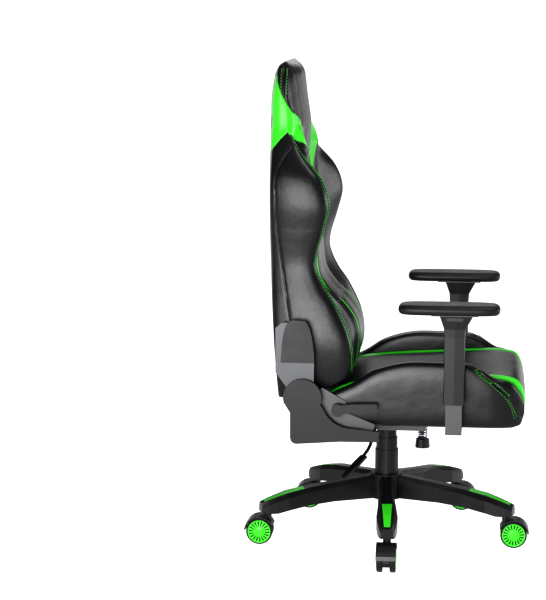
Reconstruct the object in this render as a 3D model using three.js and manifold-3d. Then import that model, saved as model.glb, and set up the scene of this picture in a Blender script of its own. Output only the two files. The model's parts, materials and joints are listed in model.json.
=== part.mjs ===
// A racing-style gaming chair on a five-legged castor base, in millimetres, +Z up.
// The chair faces -Y, the sitter's right hand is -X, and the floor is z = 0.
// Side outlines are drawn as [forward, up]: "forward" is measured from the column towards the
// sitter's knees, so a point's y is minus its forward value.
import * as THREE from "three";
import { mergeVertices } from "three/addons/utils/BufferGeometryUtils.js";
import Module from "manifold-3d";

const wasm = await Module();
wasm.setup();

// ---------------------------------------------------------------- driving dimensions
const GAP = 0.3; // left between pieces that touch
const SLACK = 0.7; // left between covers and moulded pieces
const COLUMN_AT = [29, 7]; // column axis from the middle of the footprint, castors as stored

const LEGS = 5;
const LEG_TURN = 3.5; // degrees the base is turned from having a leg straight out to the right
const CASTOR_RADIUS = 350; // column axis to castor stem
const LEG_TIP = 21; // leg beyond the castor stem
const HUB_R = 46;
const HUB_LOW = 110;
const HUB_TOP = 181;
const INSERT_T = 3; // coloured inlay in the top of each leg
const INSERT_FROM = 246;
const INSERT_TO = 361;
const INSERT_W = [28, 17]; // inner and outer width

const WHEEL_R = 37;
const WHEEL_W = 16;
const FORK_W = 19.4; // web between the two wheels of a castor
const AXLE_R = 4;
const TRAIL = 22;
const HOOD_T = 4.5;
const STEM_R = 5.5;
const STEM_TOP = 110;
const NECK_R = 11;
const NECK_TOP = 86.6;

const CYLINDER_R = 24.4;
const CYLINDER_LOW = 78;
const CYLINDER_TOP = 262;
const PISTON_R = 14;
const PISTON_LOW = 122; // clear of the cylinder's floor with the seat at its lowest
const SLEEVE_T = 2.4; // wall of the telescopic cover
const SLEEVE_R = CYLINDER_R + SLACK + 3 * SLEEVE_T + 2 * (GAP + 0.1) - 0.1; // outermost cover
const PISTON_TOP = 329;

const MECH_W = 140;
const MECH_LOW = 318;
const MECH_WALL = 3;
const TILT_AXIS = [70, 338]; // forward, up
const TILT_PIN_R = 6;
const PLATE_Z = 353.6;
const PLATE_T = 4;
const KNOB_FORWARD = 101;
const HEIGHT_LEVER_AT = [-30, 321]; // forward, up

const SEAT_LOW = 371; // underside of the upholstered seat
const BOARD_T = 14;
const SEAT_FRONT = 386;
const SEAT_TOP = 511;
const SEAT_REAR = -182;
const BOARD_SETBACK = 46; // board's front edge behind the seat's front
const SEAT_W = 524; // over the side bolsters
const BOLSTER_W = 52;
const SEAT_MID_W = SEAT_W - 2 * BOLSTER_W; // middle panel with its coloured edges
const BOLSTER_TOP = 548;

const HINGE = [-213, 452]; // backrest hinge, forward and up
const BACK_W = 524; // backrest at its widest
const BRACKET_X = Math.max(SEAT_W, BACK_W) / 2 + 2.3; // inner face of the seat-side hinge bracket
const BRACKET_T = 4;
const DRUM_T = 10;
const ARM_T = 4;
const COVER_T = 13;
const LEVER_AXIS = [-118, 420];

const BACK_TOP = 1344;
const BACK_LOW = 432;
const SPLIT_F = -272; // plane where the rear shell meets the front cushions
const FRAME_T = 14;
const FRAME_X = BACK_W / 2 - 67;
const FRAME_TUBE = 24;
const CENTRE_W = 240;
const HEAD_LOW = 1100;
const WING_TOP = 1165;

const REST_X = SEAT_W / 2 + 38; // armrest, from the middle of the chair
const REST_F = 193;
const POST = [20, 44];
const REST_SLEEVE = [32, 56];
const REST_TOP = 687;
const PAD = [100, 269, 27];
const PAD_PLATE_T = 4.4;
const BUTTON_L = 44;
const POST_TOP = 600;
const SLEEVE_LOW = 446;

// ---------------------------------------------------------------- tools
const solidOf = (geometry) => {
  const bare = geometry.clone();
  bare.deleteAttribute("normal");
  bare.deleteAttribute("uv");
  const merged = mergeVertices(bare, 1e-3);
  return new wasm.Manifold(
    new wasm.Mesh({
      numProp: 3,
      vertProperties: new Float32Array(merged.attributes.position.array),
      triVerts: new Uint32Array(merged.index.array),
    }),
  );
};
const geometryOf = (solid) => {
  const mesh = solid.getMesh();
  return new THREE.BufferGeometry()
    .setAttribute("position", new THREE.BufferAttribute(mesh.vertProperties, 3))
    .setIndex(new THREE.BufferAttribute(mesh.triVerts, 1));
};
const fold = (how) => (first, ...rest) =>
  geometryOf(rest.reduce((all, g) => all[how](solidOf(g)), solidOf(first)));
const join = fold("add");
const cut = fold("subtract");
const common = fold("intersect");

const shapeOf = (outline) =>
  Array.isArray(outline) ? new THREE.Shape(outline.map((p) => new THREE.Vector2(...p))) : outline;
const extruded = (outline, depth, curveSegments = 6) =>
  new THREE.ExtrudeGeometry(shapeOf(outline), { depth, bevelEnabled: false, curveSegments });
// [x, y] outline standing from z0 to z1
const planSlab = (outline, z0, z1) => extruded(outline, z1 - z0).translate(0, 0, z0);
// [forward, up] outline, across the chair from x0 to x1
const SIDE = new THREE.Matrix4().makeBasis(
  new THREE.Vector3(0, -1, 0),
  new THREE.Vector3(0, 0, 1),
  new THREE.Vector3(-1, 0, 0),
);
const sideSlab = (outline, x0, x1, curveSegments) =>
  extruded(outline, Math.abs(x1 - x0), curveSegments)
    .applyMatrix4(SIDE)
    .translate(Math.max(x0, x1), 0, 0);
// [x, up] outline, from forward f0 to f1
const frontSlab = (outline, f0, f1) =>
  extruded(outline, Math.abs(f1 - f0)).rotateX(Math.PI / 2).translate(0, -Math.min(f0, f1), 0);
const box = (x, y, z) =>
  new THREE.BoxGeometry(x[1] - x[0], y[1] - y[0], z[1] - z[0]).translate(
    (x[0] + x[1]) / 2,
    (y[0] + y[1]) / 2,
    (z[0] + z[1]) / 2,
  );
// box by its forward range instead of its y range
const fBox = (x, f, z) => box(x, [-f[1], -f[0]], z);
const rod = (r, z0, z1, around = 24) =>
  new THREE.CylinderGeometry(r, r, z1 - z0, around)
    .rotateX(Math.PI / 2)
    .translate(0, 0, (z0 + z1) / 2);
// rod across the chair, at [forward, up]
const crossRod = (r, x0, x1, [f, z], around = 20) =>
  new THREE.CylinderGeometry(r, r, x1 - x0, around)
    .rotateZ(Math.PI / 2)
    .translate((x0 + x1) / 2, -f, z);
const disc = ([f, z], r) => {
  const shape = new THREE.Shape();
  shape.absarc(f, z, r, 0, Math.PI * 2);
  return shape;
};
// Closed ring about the column axis
const ring = (rIn, rOut, z0, z1, around = 26) =>
  new THREE.LatheGeometry(
    [[rIn, z0], [rOut, z0], [rOut, z1], [rIn, z1], [rIn, z0]].map((p) => new THREE.Vector2(...p)),
    around,
  ).rotateX(Math.PI / 2);
// Smooth curve through [at, value] knots, flat beyond its ends
const through = (knots) => (at) => {
  const i = knots.findIndex(([k]) => k >= at);
  if (i === 0) return knots[0][1];
  if (i < 0) return knots[knots.length - 1][1];
  const slope = (j) => {
    const a = knots[Math.max(j - 1, 0)];
    const b = knots[Math.min(j + 1, knots.length - 1)];
    return (b[1] - a[1]) / (b[0] - a[0]);
  };
  const [k0, v0] = knots[i - 1];
  const [k1, v1] = knots[i];
  const d = k1 - k0;
  const t = (at - k0) / d;
  const t2 = t * t;
  const t3 = t2 * t;
  return (
    (2 * t3 - 3 * t2 + 1) * v0 +
    (t3 - 2 * t2 + t) * d * slope(i - 1) +
    (3 * t2 - 2 * t3) * v1 +
    (t3 - t2) * d * slope(i)
  );
};
// Soft body: a box's grid with its corners rounded off, put in place by at(u, v, t), which
// gives [x, forward, z] for u, v and t from -1 to 1.
const moulded = ([nu, nv, nt], roundness, at) => {
  const bare = new THREE.BoxGeometry(2, 2, 2, nu, nv, nt);
  bare.deleteAttribute("normal");
  bare.deleteAttribute("uv");
  const g = mergeVertices(bare, 1e-3);
  const p = g.attributes.position;
  for (let i = 0; i < p.count; i++) {
    const a = p.getX(i);
    const b = -p.getY(i);
    const u = a * Math.sqrt(1 - (roundness * b * b) / 2);
    const v = b * Math.sqrt(1 - (roundness * a * a) / 2);
    const [x, f, z] = at(u, v, p.getZ(i));
    p.setXYZ(i, x, -f, z);
  }
  return g;
};
const mix = (a, b, t) => a + (b - a) * t;
const mirrored = (geometry) => {
  const g = geometry.clone().scale(-1, 1, 1);
  const index = g.index ? g.index.array : Array.from({ length: g.attributes.position.count }, (_, i) => i);
  const flipped = [];
  for (let i = 0; i < index.length; i += 3) flipped.push(index[i], index[i + 2], index[i + 1]);
  return g.setIndex(flipped);
};

// ---------------------------------------------------------------- materials
const paint = (color, roughness, metalness = 0) =>
  new THREE.MeshStandardMaterial({ color, roughness, metalness });
const LEATHER = () => paint(0x17181a, 0.42);
const GREEN_LEATHER = () => paint(0x4fd63f, 0.45);
const PLASTIC = () => paint(0x141416, 0.5);
const GREEN_PLASTIC = () => paint(0x45c835, 0.4);
const STEEL = () => paint(0x1c1d20, 0.45, 0.6);
const BRIGHT = () => paint(0xb8bcc2, 0.25, 1);
const BOARD = () => paint(0x8a6f4c, 0.8);

const chair = new THREE.Group();
chair.position.set(COLUMN_AT[0], COLUMN_AT[1], 0);
const put = (name, geometry, material, parent = chair) => {
  const mesh = new THREE.Mesh(geometry, material);
  mesh.name = name;
  parent.add(mesh);
};
const pair = (name, rightGeometry, material) => {
  put(name + "_right", rightGeometry, material());
  put(name + "_left", mirrored(rightGeometry), material());
};

// ---------------------------------------------------------------- star base
// Along a leg: distance out, half width, underside and top.
const LEG_LINE = [
  [34, 21, 112, 179],
  [160, 20, 110, 163],
  [234, 25, 105, 154.5],
  [295, 29, 95, 142],
  [325, 26, 87.5, 133],
  [352, 22, 87, 124],
  [CASTOR_RADIUS + LEG_TIP, 17, 90, 117],
];
const legTop = through(LEG_LINE.map((s) => [s[0], s[3]]));

function legBody() {
  const stations = LEG_LINE.length - 1;
  return moulded([stations, 1, 2], 0, (u, v, t) => {
    const [out, half, low, top] = LEG_LINE[Math.round(((u + 1) / 2) * stations)];
    const width = half * (t > 0.5 ? 0.66 : 1);
    return [out, v * width, t < -0.5 ? low : t > 0.5 ? top : top - 12];
  });
}
// The inlay follows the leg's top between two distances out; grow widens it for its recess.
function inlay(grow, depth, height) {
  return moulded([4, 1, 1], 0, (u, v, t) => {
    const share = (u + 1) / 2;
    const out = mix(INSERT_FROM - grow, INSERT_TO + grow, share);
    const half = mix(INSERT_W[0], INSERT_W[1], share) / 2 + grow;
    return [out, v * half, legTop(out) + (t < 0 ? -depth : height)];
  });
}
const legAngle = (i) => Math.PI + (LEG_TURN * Math.PI) / 180 + (i * 2 * Math.PI) / LEGS;

function starBase() {
  const hub = rod(HUB_R, HUB_LOW, HUB_TOP, 30);
  const legs = [];
  const cuts = [rod(CYLINDER_R + GAP, HUB_LOW - 1, HUB_TOP + 1, 30)];
  for (let i = 0; i < LEGS; i++) {
    legs.push(legBody().rotateZ(legAngle(i)));
    cuts.push(inlay(GAP, INSERT_T + GAP, 20).rotateZ(legAngle(i)));
    cuts.push(
      rod(STEM_R + GAP, 60, STEM_TOP + GAP, 10)
        .translate(CASTOR_RADIUS, 0, 0)
        .rotateZ(legAngle(i)),
    );
  }
  return cut(join(hub, ...legs), ...cuts);
}
put("star_base", starBase(), PLASTIC());
for (let i = 0; i < LEGS; i++)
  put("leg_insert_" + (i + 1), inlay(0, INSERT_T, 0.4).rotateZ(legAngle(i)), GREEN_PLASTIC());

// ---------------------------------------------------------------- castors
// Drawn with the stem on the z axis and the wheels trailing towards +x, axle along y.
const HOOD_R = WHEEL_R + 1.4 + HOOD_T;
const AXLE_Z = WHEEL_R;

function castorFork() {
  const width = FORK_W + 2 * GAP + 2 * WHEEL_W + 2;
  const hood = new THREE.Shape();
  hood.absarc(TRAIL, AXLE_Z, HOOD_R, 0.12, Math.PI * 0.86, false);
  hood.absarc(TRAIL, AXLE_Z, HOOD_R - HOOD_T, Math.PI * 0.86, 0.12, true);
  const web = new THREE.Shape();
  web.absarc(TRAIL, AXLE_Z, WHEEL_R - 3, -0.5, Math.PI * 1.05, false);
  const across = (shape, w) =>
    extruded(shape, w, 5).rotateX(Math.PI / 2).translate(0, w / 2, 0);
  const bridge = [
    [TRAIL - 20, AXLE_Z + 22],
    [TRAIL + 12, AXLE_Z + 27],
    [TRAIL + 6, AXLE_Z + HOOD_R - 1],
    [-NECK_R + 2, NECK_TOP - 6],
    [-NECK_R + 2, AXLE_Z + 16],
  ];
  const whole = join(
    across(hood, width),
    across(web, FORK_W),
    across(bridge, FORK_W),
    rod(NECK_R, AXLE_Z + 30, NECK_TOP, 14),
    rod(STEM_R, NECK_TOP - 2, STEM_TOP, 10),
  );
  const wheelRoom = (side) =>
    new THREE.CylinderGeometry(WHEEL_R + 1.4, WHEEL_R + 1.4, WHEEL_W + 3, 20).translate(
      TRAIL,
      side * (FORK_W / 2 + (WHEEL_W + 3) / 2),
      AXLE_Z,
    );
  const axleHole = new THREE.CylinderGeometry(AXLE_R + GAP, AXLE_R + GAP, width + 2, 10);
  return cut(whole, wheelRoom(1), wheelRoom(-1), axleHole.translate(TRAIL, 0, AXLE_Z));
}
function castorWheels() {
  const inner = FORK_W / 2 + GAP;
  const outer = inner + WHEEL_W;
  const half = [
    [AXLE_R, 0],
    [AXLE_R, inner],
    [WHEEL_R - 2, inner],
    [WHEEL_R, inner + 2],
    [WHEEL_R, outer - 3],
    [WHEEL_R - 3.5, outer],
    [0, outer],
  ];
  const profile = [...half.slice(1).map(([r, y]) => [r, -y]).reverse(), ...half.slice(1)];
  return new THREE.LatheGeometry(profile.map((p) => new THREE.Vector2(...p)), 22).translate(
    TRAIL,
    0,
    AXLE_Z,
  );
}
// Directions the wheels trail in, in degrees about z: outwards, with the four end castors lined
// up with the chair and the fifth square to it.
const TRAIL_TO = [180, -90, -90, 90, 90];
for (let i = 0; i < LEGS; i++) {
  const castor = new THREE.Group();
  castor.position.set(CASTOR_RADIUS * Math.cos(legAngle(i)), CASTOR_RADIUS * Math.sin(legAngle(i)), 0);
  castor.rotation.z = (TRAIL_TO[i] * Math.PI) / 180;
  chair.add(castor);
  put("castor_fork_" + (i + 1), castorFork(), PLASTIC(), castor);
  put("castor_wheels_" + (i + 1), castorWheels(), GREEN_PLASTIC(), castor);
}

// ---------------------------------------------------------------- gas lift and its cover
put(
  "gas_cylinder",
  cut(
    rod(CYLINDER_R, CYLINDER_LOW, CYLINDER_TOP, 32),
    rod(PISTON_R + GAP, CYLINDER_LOW + 10, CYLINDER_TOP + 1),
  ),
  STEEL(),
);
put("gas_piston", rod(PISTON_R, PISTON_LOW, PISTON_TOP), BRIGHT());
const sleeve = (index) => SLEEVE_R - index * (SLEEVE_T + GAP + 0.1);
put("lift_cover_lower", ring(sleeve(0) - SLEEVE_T, sleeve(0), HUB_TOP + GAP, 250), PLASTIC());
put("lift_cover_middle", ring(sleeve(1) - SLEEVE_T, sleeve(1), 200, 285), PLASTIC());
const UPPER_TOP = MECH_LOW - GAP;
put(
  "lift_cover_upper",
  join(
    ring(sleeve(2) - SLEEVE_T + 0.1, sleeve(2), 215, UPPER_TOP),
    ring(PISTON_R + GAP, sleeve(2), UPPER_TOP - 3, UPPER_TOP),
  ),
  PLASTIC(),
);

// ---------------------------------------------------------------- tilt mechanism
// Tray with its top falling to the rear, so that the seat plate can rock down into that space.
function mechanismHousing() {
  const bend = 3 - SLEEVE_R; // behind the lift's upper cover, which ends under the tray
  const line = [
    [-100, MECH_LOW - 22],
    [bend, MECH_LOW],
    [112, MECH_LOW],
    [112, PLATE_Z - 2.6],
    [74, PLATE_Z - 2.6],
    [-100, MECH_LOW - 4],
  ];
  const inside = [
    [-97, MECH_LOW - 18],
    [bend + 1, MECH_LOW + MECH_WALL],
    [108, MECH_LOW + MECH_WALL],
    [108, PLATE_Z + 20],
    [-97, PLATE_Z + 20],
  ];
  const half = MECH_W / 2;
  const tray = cut(
    sideSlab(line, -half, half),
    sideSlab(inside, -half + MECH_WALL, half - MECH_WALL),
  );
  const boss = rod(PISTON_R + 9, MECH_LOW, PISTON_TOP + 2.5, 28);
  const rail = fBox([-half + 1, half - 1], [KNOB_FORWARD - 9, 110], [MECH_LOW, MECH_LOW + 12]);
  const leverBoss = crossRod(9.5, -half - 4, -half + 2, HEIGHT_LEVER_AT);
  return cut(
    join(tray, boss, rail, leverBoss),
    rod(PISTON_R + GAP, MECH_LOW - 30, PISTON_TOP + GAP),
    crossRod(TILT_PIN_R + GAP, -half - 10, half + 10, TILT_AXIS),
    crossRod(6.4, -half - 10, -half + 10, HEIGHT_LEVER_AT),
    rod(4.3, MECH_LOW - 5, MECH_LOW + 20, 16).translate(0, -KNOB_FORWARD, 0),
  );
}
put("mechanism_housing", mechanismHousing(), STEEL());
const EAR_X = MECH_W / 2 + 1.2;
put("tilt_pin", crossRod(TILT_PIN_R, -EAR_X - 5, EAR_X + 5, TILT_AXIS), BRIGHT());

function seatPlate() {
  const plate = fBox([-92, 92], [-95, 112], [PLATE_Z, PLATE_Z + PLATE_T]);
  const rails = [-1, 1].map((side) =>
    fBox(
      [side * 76 - 16, side * 76 + 16],
      [-95, 112],
      [PLATE_Z + PLATE_T - 1, SEAT_LOW - GAP],
    ),
  );
  const ear = [
    [TILT_AXIS[0] - 26, PLATE_Z + 1],
    [TILT_AXIS[0] - 12, TILT_AXIS[1] - 11],
    [TILT_AXIS[0] + 12, TILT_AXIS[1] - 11],
    [TILT_AXIS[0] + 26, PLATE_Z + 1],
  ];
  const ears = [-1, 1].map((side) => sideSlab(ear, side * EAR_X, side * (EAR_X + 4)));
  return cut(
    join(plate, ...rails, ...ears),
    crossRod(TILT_PIN_R + GAP, -EAR_X - 10, EAR_X + 10, TILT_AXIS),
  );
}
put("seat_plate", seatPlate(), STEEL());

// Tension knob under the front of the housing, with the spring round its screw.
function tensionKnob() {
  const grip = new THREE.CylinderGeometry(19, 21, 24, 12).rotateX(Math.PI / 2);
  const screw = rod(4, 275, MECH_LOW + 14, 16);
  return join(grip.translate(0, -KNOB_FORWARD, 268), screw.translate(0, -KNOB_FORWARD, 0));
}
put("tension_knob", tensionKnob(), PLASTIC());

function tiltSpring() {
  const turns = 5;
  const low = 283;
  const high = MECH_LOW - 3;
  class Coil extends THREE.Curve {
    getPoint(t) {
      const a = t * turns * 2 * Math.PI;
      return new THREE.Vector3(13 * Math.cos(a), 13 * Math.sin(a), mix(low, high, t));
    }
  }
  const wire = new THREE.Shape();
  wire.absarc(0, 0, 2, 0, 2 * Math.PI);
  return new THREE.ExtrudeGeometry(wire, {
    steps: turns * 8,
    curveSegments: 2,
    extrudePath: new Coil(),
    bevelEnabled: false,
  }).translate(0, -KNOB_FORWARD, 0);
}
put("tension_spring", tiltSpring(), BRIGHT());

// Height lever: a bent rod out of the right side of the housing, with a flat grip.
function heightLever() {
  const [f, z] = HEIGHT_LEVER_AT;
  const line = new THREE.CatmullRomCurve3(
    [
      [-MECH_W / 2 + 8, -f, z],
      [-MECH_W / 2 - 22, 1 - f, z - 1],
      [-150, 41, 286],
      [-190, 62, 261],
    ].map((p) => new THREE.Vector3(...p)),
  );
  const wire = new THREE.Shape();
  wire.absarc(0, 0, 4.6, 0, 2 * Math.PI);
  const bent = new THREE.ExtrudeGeometry(wire, {
    steps: 14,
    curveSegments: 3,
    extrudePath: line,
    bevelEnabled: false,
  });
  const grip = new THREE.Shape();
  grip.moveTo(-54, -9);
  grip.lineTo(-20, -10);
  grip.lineTo(48, -5.5);
  grip.absarc(48, 0, 5.5, -Math.PI / 2, Math.PI / 2);
  grip.lineTo(-20, 10);
  grip.lineTo(-54, 9);
  const paddle = new THREE.ExtrudeGeometry(grip, {
    depth: 6,
    bevelThickness: 1.5,
    bevelSize: 1.5,
    bevelSegments: 1,
    curveSegments: 6,
  })
    .translate(0, 0, -3)
    .rotateY(0.4)
    .rotateZ(Math.PI - 0.55)
    .translate(-220, 80, 246);
  return join(bent, paddle);
}
put("height_lever", heightLever(), PLASTIC());

// ---------------------------------------------------------------- seat
const BOARD_TOP = SEAT_LOW + BOARD_T;
put(
  "seat_board",
  fBox(
    [-SEAT_MID_W / 2, SEAT_MID_W / 2],
    [SEAT_REAR + 8, SEAT_FRONT - BOARD_SETBACK],
    [SEAT_LOW, BOARD_TOP],
  ),
  BOARD(),
);

// Side view of the seat: its top passes through the knots, and with a board under it the
// underside steps up to lie on that.
function seatLine(front, top, topKnots, onBoard) {
  const rise = through([[SEAT_REAR, topKnots[0][1] - 24], ...topKnots, [front - 88, top]]);
  const rearLine = [];
  for (let f = front - 110; f > SEAT_REAR + 8; f -= 24) rearLine.push([f, rise(f)]);
  const shape = new THREE.Shape();
  if (onBoard) {
    shape.moveTo(SEAT_REAR, BOARD_TOP + GAP);
    shape.lineTo(front - BOARD_SETBACK + GAP, BOARD_TOP + GAP);
    shape.lineTo(front - BOARD_SETBACK + GAP, SEAT_LOW);
  } else shape.moveTo(SEAT_REAR, SEAT_LOW);
  shape.lineTo(front - 34, SEAT_LOW);
  shape.quadraticCurveTo(front - 8, SEAT_LOW + 6, front, SEAT_LOW + 66);
  shape.quadraticCurveTo(front - 2, top - 12, front - 52, top - 3);
  shape.quadraticCurveTo(front - 70, top, front - 88, top);
  for (const p of rearLine) shape.lineTo(...p);
  shape.lineTo(SEAT_REAR, BACK_LOW - 4);
  return shape;
}
// The backrest's underside and the seat's rear slope keep this line between them.
const UNDER_BACK = [
  [-64, 506],
  [-150, 462],
  [-200, BACK_LOW + 2],
];
const CUSHION_KNOTS = [
  [-150, 454],
  [-90, 480],
  [-30, 490],
  [90, 498],
];
const cushionLine = seatLine(SEAT_FRONT, SEAT_TOP, CUSHION_KNOTS, true);
const FRONT_BOW = 5; // the front edge bows forward by this much at its middle
function seatCushion() {
  const half = SEAT_MID_W / 2;
  const plan = new THREE.Shape();
  plan.moveTo(-half, -SEAT_REAR);
  plan.lineTo(-half, FRONT_BOW - SEAT_FRONT);
  plan.quadraticCurveTo(0, -SEAT_FRONT - FRONT_BOW, half, FRONT_BOW - SEAT_FRONT);
  plan.lineTo(half, -SEAT_REAR);
  return common(
    sideSlab(cushionLine, -half - 1, half + 1, 6),
    planSlab(plan, SEAT_LOW - 1, SEAT_TOP + 1),
  );
}
put("seat_cushion", seatCushion(), LEATHER());
const BOLSTER_KNOTS = [
  [-150, 453],
  [-78, 488],
  [-20, 524],
  [60, BOLSTER_TOP - 2],
  [150, BOLSTER_TOP],
  [225, BOLSTER_TOP - 2],
  [262, 530],
];
function seatBolster() {
  const inner = -SEAT_MID_W / 2 - GAP;
  const outer = -SEAT_W / 2;
  const side = seatLine(SEAT_FRONT - 4, SEAT_TOP - 6, BOLSTER_KNOTS, false);
  const plan = new THREE.Shape();
  plan.moveTo(inner, -SEAT_REAR);
  plan.lineTo(outer, -SEAT_REAR);
  plan.lineTo(outer, -SEAT_FRONT + 92);
  plan.quadraticCurveTo(outer, -SEAT_FRONT + 14, inner, -SEAT_FRONT - 2);
  const front = new THREE.Shape();
  front.moveTo(inner, SEAT_LOW);
  front.lineTo(outer + 10, SEAT_LOW);
  front.quadraticCurveTo(outer, SEAT_LOW, outer, SEAT_LOW + 14);
  front.lineTo(outer, BOLSTER_TOP - 40);
  front.quadraticCurveTo(outer, BOLSTER_TOP, outer + 24, BOLSTER_TOP);
  front.quadraticCurveTo(inner - 8, BOLSTER_TOP - 2, inner, BOLSTER_TOP - 32);
  return common(
    sideSlab(side, outer - 1, inner + 1, 8),
    planSlab(plan, SEAT_LOW - 1, BOLSTER_TOP + 1),
    frontSlab(front, SEAT_REAR - 1, SEAT_FRONT + 1),
  );
}
pair("seat_bolster", seatBolster(), LEATHER);

// ---------------------------------------------------------------- backrest hinge
const onRight = (offset) => -(BRACKET_X + offset);
const DRUM_AT = BRACKET_T + GAP;
const ARM_AT = DRUM_AT + DRUM_T + GAP;
const COVER_AT = ARM_AT + ARM_T + GAP;

function hingeBracket() {
  const plate = [
    [-238, SEAT_LOW - 5.4],
    [-20, SEAT_LOW - 5.4],
    [-20, SEAT_LOW + 8],
    [-92, 408],
    [-97, 440],
    [-160, 476],
    [-240, 440],
  ];
  const underBoard = 40 - SEAT_MID_W / 2; // how far the flange reaches in under the seat board
  const flange = fBox([onRight(1), underBoard], [-170, -30], [SEAT_LOW - 5.4, SEAT_LOW - GAP]);
  return cut(
    join(
      sideSlab(plate, onRight(BRACKET_T), onRight(0)),
      sideSlab(disc(HINGE, 36), onRight(BRACKET_T), onRight(0)),
      flange,
    ),
    crossRod(6.3, onRight(BRACKET_T + 1), onRight(-1), LEVER_AXIS),
  );
}
pair("hinge_bracket", hingeBracket(), STEEL);
pair(
  "recliner_drum",
  crossRod(29, onRight(DRUM_AT + DRUM_T), onRight(DRUM_AT), HINGE, 28),
  STEEL,
);

function sideCover() {
  const outline = new THREE.Shape();
  outline.moveTo(-227, 326);
  outline.lineTo(-110, 335);
  outline.lineTo(-8, 336);
  outline.lineTo(-8, 364);
  outline.lineTo(-92, 372);
  outline.quadraticCurveTo(-138, 380, -158, HINGE[1] - 26);
  outline.absarc(HINGE[0], HINGE[1], 52, -0.35, Math.PI * 1.08, false);
  outline.lineTo(-246, 412);
  outline.lineTo(-246, 347);
  outline.quadraticCurveTo(-246, 326, -227, 326);
  const foot = [
    [-226, 328],
    [-110, 337],
    [-10, 338],
    [-10, 362],
    [-92, 362],
    [-234, 362],
    [-244, 346],
  ];
  return join(
    sideSlab(outline, onRight(COVER_AT + COVER_T), onRight(COVER_AT), 10),
    sideSlab(foot, onRight(COVER_AT + 1), onRight(BRACKET_T + GAP)),
  );
}
pair("side_cover", sideCover(), PLASTIC);

// Recline lever on the sitter's right: pivot cap, bent arm and a grip with finger grooves.
function reclineLever() {
  const [f0, z0] = LEVER_AXIS;
  const outline = new THREE.Shape();
  outline.moveTo(f0 + 4, z0 - 13);
  outline.lineTo(f0 + 30, z0 - 5);
  const grooves = 4;
  for (let i = 0; i < grooves; i++) {
    const from = f0 + 34 + i * 16;
    outline.quadraticCurveTo(from + 8, z0 + 5, from + 16, z0 - 4);
  }
  outline.quadraticCurveTo(f0 + 112, z0 + 2, f0 + 106, z0 + 20);
  outline.lineTo(f0 + 40, z0 + 18);
  outline.lineTo(f0 + 8, z0 + 14);
  const grip = sideSlab(outline, onRight(COVER_AT + 14), onRight(COVER_AT - 6), 4);
  const cap = crossRod(17, onRight(COVER_AT + 14), onRight(BRACKET_T + GAP), LEVER_AXIS, 24);
  const shaft = crossRod(6, onRight(BRACKET_T + 2), onRight(0), LEVER_AXIS, 16);
  return join(grip, cap, shaft);
}
put("recline_lever", reclineLever(), PLASTIC());
put(
  "sync_rod",
  crossRod(5, -BRACKET_X + GAP, BRACKET_X - GAP, [-195, 395], 12),
  STEEL(),
);

// ---------------------------------------------------------------- backrest
// How far each side of the backrest stands in from its greatest half width, and its front lines,
// all against height.
const narrowing = through([
  [430, 26],
  [500, 10],
  [600, 0],
  [700, 8],
  [800, 22],
  [900, 10],
  [975, 0],
  [1040, 10],
  [1100, 40],
  [1165, 72],
  [1230, 80],
  [1300, 94],
  [1330, 112],
  [BACK_TOP, 136],
]);
const backHalf = (z) => BACK_W / 2 - narrowing(z);
const ridge = through([
  [430, -130],
  [480, -96],
  [540, -82],
  [610, -90],
  [690, -125],
  [744, -160],
  [800, -182],
  [840, -180],
  [903, -162],
  [970, -149],
  [1036, -170],
  [1104, -224],
  [WING_TOP, -258],
]);
const centreFront = through([
  [430, -120],
  [500, -88],
  [580, -74],
  [630, -80],
  [680, -112],
  [715, -150],
  [760, -180],
  [840, -192],
  [960, -206],
  [1100, -216],
]);
const headFront = through([
  [HEAD_LOW, -216],
  [1165, -222],
  [1240, -236],
  [1290, -240],
  [1325, -245],
  [1338, -252],
  [BACK_TOP, -264],
]);
const rearMiddle = through([
  [430, -304],
  [600, -315],
  [800, -324],
  [1000, -327],
  [1180, -327],
  [1253, -324],
  [1310, -314],
  [1334, -300],
  [BACK_TOP, -287],
]);
const REAR_CROWN = 26; // how much further back the middle is than the sides
const belowBack = sideSlab(
  [[-20, 300], [-20, 528], ...UNDER_BACK.map(([f, z]) => [f, z + 6]), [-350, BACK_LOW + 4], [-350, 300]],
  -300,
  300,
);

function backShell() {
  const low = BACK_LOW - 8;
  const g = moulded([8, 1, 12], 0.12, (u, v, t) => {
    const z = mix(low, HEAD_LOW - GAP, (t + 1) / 2);
    const x = u * (backHalf(z) - 2);
    const rear = rearMiddle(z) + REAR_CROWN * u * u;
    return [x, v > 0 ? SPLIT_F : Math.min(rear, SPLIT_F - 5), z];
  });
  return cut(g, frameRoom, belowBack);
}

// Hoop of flat steel tube with a middle rail and side lugs for the hinge arms.
const FRAME_LOW = 506;
const FRAME_HIGH = 1270;
const RAIL_Z = 760;
const LUGS = [530, 625];
function frameSolid(grow) {
  const half = (z) => (z > 1000 ? mix(FRAME_X, 125, (z - 1000) / (FRAME_HIGH - 1000)) : FRAME_X);
  const line = (inset) => {
    const levels = [FRAME_LOW + inset, 1000, FRAME_HIGH - inset];
    return [
      ...levels.map((z) => [-(half(z) - inset), z]),
      ...levels.reverse().map((z) => [half(z) - inset, z]),
    ];
  };
  const f0 = SPLIT_F - 1 - FRAME_T - grow;
  const f1 = SPLIT_F - 1 + (grow ? 3 : 0);
  const hoop = cut(
    frontSlab(line(-grow), f0, f1),
    frontSlab(line(FRAME_TUBE + grow), f0 - 1, f1 + 1),
  );
  const rail = fBox([-FRAME_X + 4, FRAME_X - 4], [f0, f1], [RAIL_Z - 12 - grow, RAIL_Z + 12 + grow]);
  const reach = BRACKET_X + ARM_AT - GAP + grow;
  const lugs = LUGS.map((z) =>
    fBox([-reach, reach], [f0, f1], [z - 14 - grow, z + 14 + grow]),
  );
  return join(hoop, rail, ...lugs);
}
const frameRoom = frameSolid(GAP);
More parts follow.
